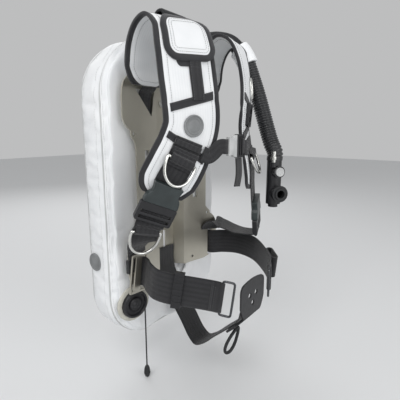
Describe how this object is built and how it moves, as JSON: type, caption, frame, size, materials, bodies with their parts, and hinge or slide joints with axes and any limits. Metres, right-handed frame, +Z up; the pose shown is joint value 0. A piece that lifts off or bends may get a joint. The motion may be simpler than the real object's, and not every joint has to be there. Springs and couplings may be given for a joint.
{
  "type": "buoyancy compensator",
  "caption": "Diver's buoyancy compensator vest: metal backplate and doughnut wing, padded shoulder harness, waist belt with centre plate, crotch strap, dump valve and power inflator.",
  "frame": {"origin": "middle of the flat rear face of the wing's centre panel, which lies against the tank", "axes": "+Z up along the wearer's spine, +X to the wearer's left, -Y the way the wearer faces, +Y into the tank"},
  "size_m": [0.3299, 0.2948, 0.7043],
  "materials": {
    "plate_metal": "satin grey-bronze bead-blasted metal",
    "wing_fabric": "coated woven nylon, white",
    "bladder_film": "translucent grey urethane film",
    "webbing": "woven black nylon webbing",
    "pad_fabric": "white woven nylon over foam with black binding",
    "black_plastic": "moulded black acetal",
    "buckle_plastic": "moulded charcoal acetal",
    "grey_plastic": "moulded light grey plastic",
    "cream_plastic": "moulded warm grey plastic",
    "black_rubber": "black moulded rubber",
    "badge_rubber": "grey moulded rubber badge",
    "bright_steel": "polished stainless steel"
  },
  "bodies": {
    "harness": {"backplate": "plate_metal", "wing_shell": "wing_fabric", "air_bladder": "bladder_film", "wing_center_panel": "wing_fabric", "wing_screw_upper": "bright_steel", "wing_screw_lower": "bright_steel", "wing_badge": "badge_rubber", "dump_flange": "cream_plastic", "dump_body": "black_plastic", "dump_spring": "bright_steel", "elbow_flange": "black_plastic", "pad_badge_right": "badge_rubber", "hose_flap_right": "pad_fabric", "strap_slide_left": "black_plastic", "sternum_tail": "webbing", "sternum_buckle_female": "grey_plastic", "sternum_buckle_male": "black_plastic", "waist_slide_right": "plate_metal", "belt_adjuster": "black_plastic", "center_plate": "black_plastic", "crotch_strap": "webbing", "crotch_frame": "black_plastic", "belt_tail_left": "webbing", "hip_tab_right": "webbing", "shoulder_pad_right": "pad_fabric", "pad_webbing_right": "webbing", "back_webbing_right": "webbing", "quick_release_female_right": "buckle_plastic", "quick_release_male_right": "buckle_plastic", "lower_webbing_right": "webbing", "sternum_webbing_right": "webbing", "waist_belt_right": "webbing", "waist_frame_right": "bright_steel", "shoulder_pad_left": "pad_fabric", "pad_webbing_left": "webbing", "back_webbing_left": "webbing", "quick_release_female_left": "buckle_plastic", "quick_release_male_left": "buckle_plastic", "lower_webbing_left": "webbing", "sternum_webbing_left": "webbing", "waist_belt_left": "webbing", "waist_frame_left": "bright_steel"},
    "handle": {"handle_grip": "black_rubber", "handle_strap": "webbing"},
    "ring_upper_right": {"dring_upper_right": "bright_steel"},
    "ring_upper_left": {"dring_upper_left": "bright_steel"},
    "ring_lower_right": {"dring_lower_right": "bright_steel"},
    "ring_chest_left": {"chest_ring_left": "bright_steel"},
    "loop": {"crotch_loop": "black_rubber"},
    "hose": {"elbow": "black_rubber", "corrugated_hose": "black_rubber", "hose_sleeve": "pad_fabric", "inflator_body": "black_plastic", "lp_nipple": "bright_steel", "mouthpiece": "black_rubber"},
    "inflate": {"inflate_button": "grey_plastic"},
    "deflate": {"deflate_button": "black_plastic"},
    "pull": {"dump_cord": "webbing", "dump_knob": "black_rubber"},
    "poppet": {"dump_poppet": "black_rubber"}
  },
  "joints": [
    {"name": "handle_swing", "type": "hinge", "parent": "harness", "child": "handle", "pos_m": [0, -0.0288, 0.1848], "axis": [1, 0, 0], "range_deg": [0, 20]},
    {"name": "ring_upper_right_tilt", "type": "hinge", "parent": "harness", "child": "ring_upper_right", "pos_m": [-0.10078, -0.14611, 0.03905], "axis": [-0.8222, 0.355, 0.4448], "range_deg": [0, 70]},
    {"name": "ring_upper_left_tilt", "type": "hinge", "parent": "harness", "child": "ring_upper_left", "pos_m": [0.09587, -0.16165, 0.04187], "axis": [-0.8836, -0.3952, -0.2512], "range_deg": [0, 25]},
    {"name": "ring_lower_right_tilt", "type": "hinge", "parent": "harness", "child": "ring_lower_right", "pos_m": [-0.13326, -0.09432, -0.07966], "axis": [-0.8964, 0.3878, 0.2145], "range_deg": [0, 55]},
    {"name": "ring_chest_left_tilt", "type": "hinge", "parent": "harness", "child": "ring_chest_left", "pos_m": [0.11287, -0.14315, 0.18911], "axis": [-0.9266, -0.3656, 0.0878], "range_deg": [0, 60]},
    {"name": "loop_swing", "type": "hinge", "parent": "harness", "child": "loop", "pos_m": [-0.01211, -0.20319, -0.26975], "axis": [-0.8448, 0.2668, 0.4638], "range_deg": [-15, 45]},
    {"name": "hose_swivel", "type": "hinge", "parent": "harness", "child": "hose", "pos_m": [0.097, 0.015, 0.235], "axis": [0.5, 0, 0.866], "range_deg": [0, 6]},
    {"name": "inflate_press", "type": "slide", "parent": "hose", "child": "inflate", "axis": [0.6, 0.8, 0], "range_m": [0, 0.004], "stiffness_N_per_m": 800},
    {"name": "deflate_press", "type": "slide", "parent": "hose", "child": "deflate", "axis": [0, 0, 1], "range_m": [0, 0.004], "stiffness_N_per_m": 800},
    {"name": "dump_pull", "type": "slide", "parent": "harness", "child": "pull", "axis": [0, 0, -1], "range_m": [0, 0.012], "stiffness_N_per_m": 600},
    {"name": "dump_lift", "type": "slide", "parent": "harness", "child": "poppet", "axis": [-0.1392, -0.9903, 0], "range_m": [0, 0.004], "deforming": ["dump_spring"]}
  ],
  "couplings": [
    {"joint": "dump_lift", "follows": "dump_pull", "ratio": 0.33333}
  ]
}
